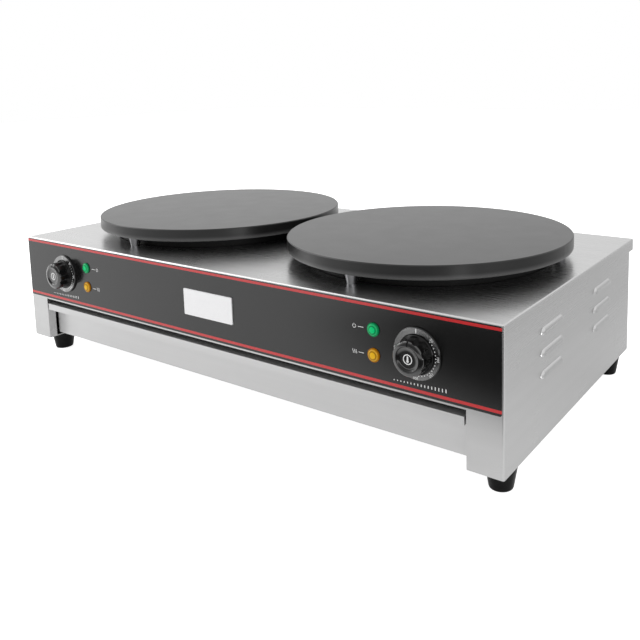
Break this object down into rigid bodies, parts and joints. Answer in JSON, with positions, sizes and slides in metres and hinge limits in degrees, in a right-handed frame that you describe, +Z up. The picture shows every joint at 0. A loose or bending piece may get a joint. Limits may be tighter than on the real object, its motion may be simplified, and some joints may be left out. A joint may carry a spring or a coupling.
{
  "type": "electric crepe maker",
  "caption": "Countertop electric crepe maker: round griddle plates on a low bent-steel housing with a front control strip, turning knobs, side louvres, rubber feet and a full-width drawer.",
  "frame": {"origin": "centre of the footprint of the whole appliance at floor level, knobs included", "axes": "+X to the right of a person who faces the control strip, +Y from the front to the back, +Z up"},
  "size_m": [0.868, 0.4808, 0.23],
  "materials": {
    "housing_steel": "satin",
    "panel_steel": "satin",
    "drawer_steel": "satin",
    "overlay_black": "gloss",
    "badge_silver": "satin",
    "dial_grey": "satin",
    "lens_green": "gloss",
    "lens_amber": "gloss",
    "moulded_black": "matte",
    "griddle_iron": "satin",
    "standoff_steel": "satin",
    "zinc_steel": "satin",
    "element_sheath": "matte",
    "mineral_wool": "matte",
    "pan_steel": "satin",
    "sensor_copper": "satin",
    "thermostat_body": "matte",
    "foot_rubber": "matte",
    "knob_black": "satin",
    "spindle_brass": "satin"
  },
  "bodies": {
    "housing": {"housing_shell": "housing_steel", "rear_panel": "panel_steel", "compartment_floor": "panel_steel", "control_overlay": "overlay_black", "badge_plate": "badge_silver", "dial_ring_left": "dial_grey", "dial_ring_right": "dial_grey", "power_lamp_left": "lens_green", "power_lamp_right": "lens_green", "heat_lamp_left": "lens_amber", "heat_lamp_right": "lens_amber", "lamp_holders": "moulded_black", "griddle_plate_left": "griddle_iron", "griddle_plate_right": "griddle_iron", "standoffs_left": "standoff_steel", "standoffs_right": "standoff_steel", "plate_bolts": "zinc_steel", "heating_element_left": "element_sheath", "heating_element_right": "element_sheath", "element_clamp_left": "panel_steel", "element_clamp_right": "panel_steel", "centre_studs": "zinc_steel", "centre_nuts": "zinc_steel", "insulation_left": "mineral_wool", "insulation_right": "mineral_wool", "heat_pan_left": "pan_steel", "heat_pan_right": "pan_steel", "sensor_left": "sensor_copper", "sensor_right": "sensor_copper", "thermostat_left": "thermostat_body", "thermostat_right": "thermostat_body", "thermostat_screws": "zinc_steel", "terminal_block": "thermostat_body", "cable_gland_left": "moulded_black", "cable_gland_right": "moulded_black", "gland_nuts": "moulded_black", "drawer_runner_left": "panel_steel", "drawer_runner_right": "panel_steel", "floor_screws": "zinc_steel", "rear_panel_screws": "zinc_steel", "foot_front_left": "foot_rubber", "foot_front_right": "foot_rubber", "foot_rear_left": "foot_rubber", "foot_rear_right": "foot_rubber", "foot_screws": "zinc_steel"},
    "drawer": {"drawer_tray": "drawer_steel", "drawer_sides": "drawer_steel", "drawer_back": "drawer_steel", "drawer_front": "drawer_steel"},
    "knob_left_body": {"knob_left": "knob_black", "spindle_left": "spindle_brass"},
    "knob_right_body": {"knob_right": "knob_black", "spindle_right": "spindle_brass"}
  },
  "joints": [
    {"name": "drawer_slide", "type": "slide", "parent": "housing", "child": "drawer", "axis": [0, -1, 0], "range_m": [0, 0.33]},
    {"name": "knob_left_turn", "type": "hinge", "parent": "housing", "child": "knob_left_body", "pos_m": [-0.328, -0.2276, 0.1475], "axis": [0, 1, 0], "range_deg": [0, 280]},
    {"name": "knob_right_turn", "type": "hinge", "parent": "housing", "child": "knob_right_body", "pos_m": [0.328, -0.2276, 0.1475], "axis": [0, 1, 0], "range_deg": [0, 280]}
  ]
}
